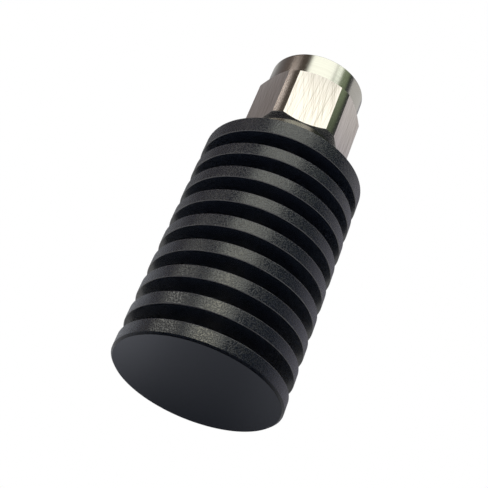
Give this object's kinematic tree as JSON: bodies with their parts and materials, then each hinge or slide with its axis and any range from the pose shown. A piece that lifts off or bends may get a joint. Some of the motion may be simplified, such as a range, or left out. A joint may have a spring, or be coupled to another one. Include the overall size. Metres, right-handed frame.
{
  "type": "coaxial terminator",
  "caption": "Finned cylindrical coaxial load with a screw-on plug: black heat sink, hexagonal coupling nut that spins, slotted outer contact and centre pin.",
  "frame": {"origin": "centre of the flat rear end of the heat sink", "axes": "+Z along the axis from the rear end towards the connector; one flat of the coupling nut faces -Y at rest"},
  "size_m": [0.032, 0.032, 0.0725],
  "materials": {
    "anodised_aluminium": "bead-blasted and black anodised, satin",
    "stainless_steel": "turned collars, milled and lightly brushed flats",
    "nickel_plated_brass": "turned and nickel plated",
    "gold_plate": "turned and gold plated",
    "silicone_rubber": "moulded, matt",
    "nitrile_rubber": "moulded, matt",
    "spring_bronze": "formed from strip, bright",
    "ptfe": "turned, waxy white",
    "bare_brass": "turned, bare",
    "film_on_ceramic": "dark resistive film on white ceramic",
    "tinned_copper": "pressed and tinned"
  },
  "bodies": {
    "load": {"heat_sink": "anodised_aluminium", "connector_body": "nickel_plated_brass", "outer_contact": "nickel_plated_brass", "centre_contact": "gold_plate", "gasket": "silicone_rubber", "sealing_ring": "nitrile_rubber", "retaining_ring": "spring_bronze", "front_bead": "ptfe", "rear_bead": "ptfe", "load_sleeve": "bare_brass", "ground_plug": "bare_brass", "resistor_rod": "film_on_ceramic", "rear_cap": "tinned_copper", "front_cap": "tinned_copper"},
    "nut": {"coupling_nut": "stainless_steel"}
  },
  "joints": [
    {"name": "nut_spin", "type": "hinge", "parent": "load", "child": "nut", "pos_m": [0, 0, 0.0613], "axis": [0, 0, 1], "continuous": true}
  ]
}
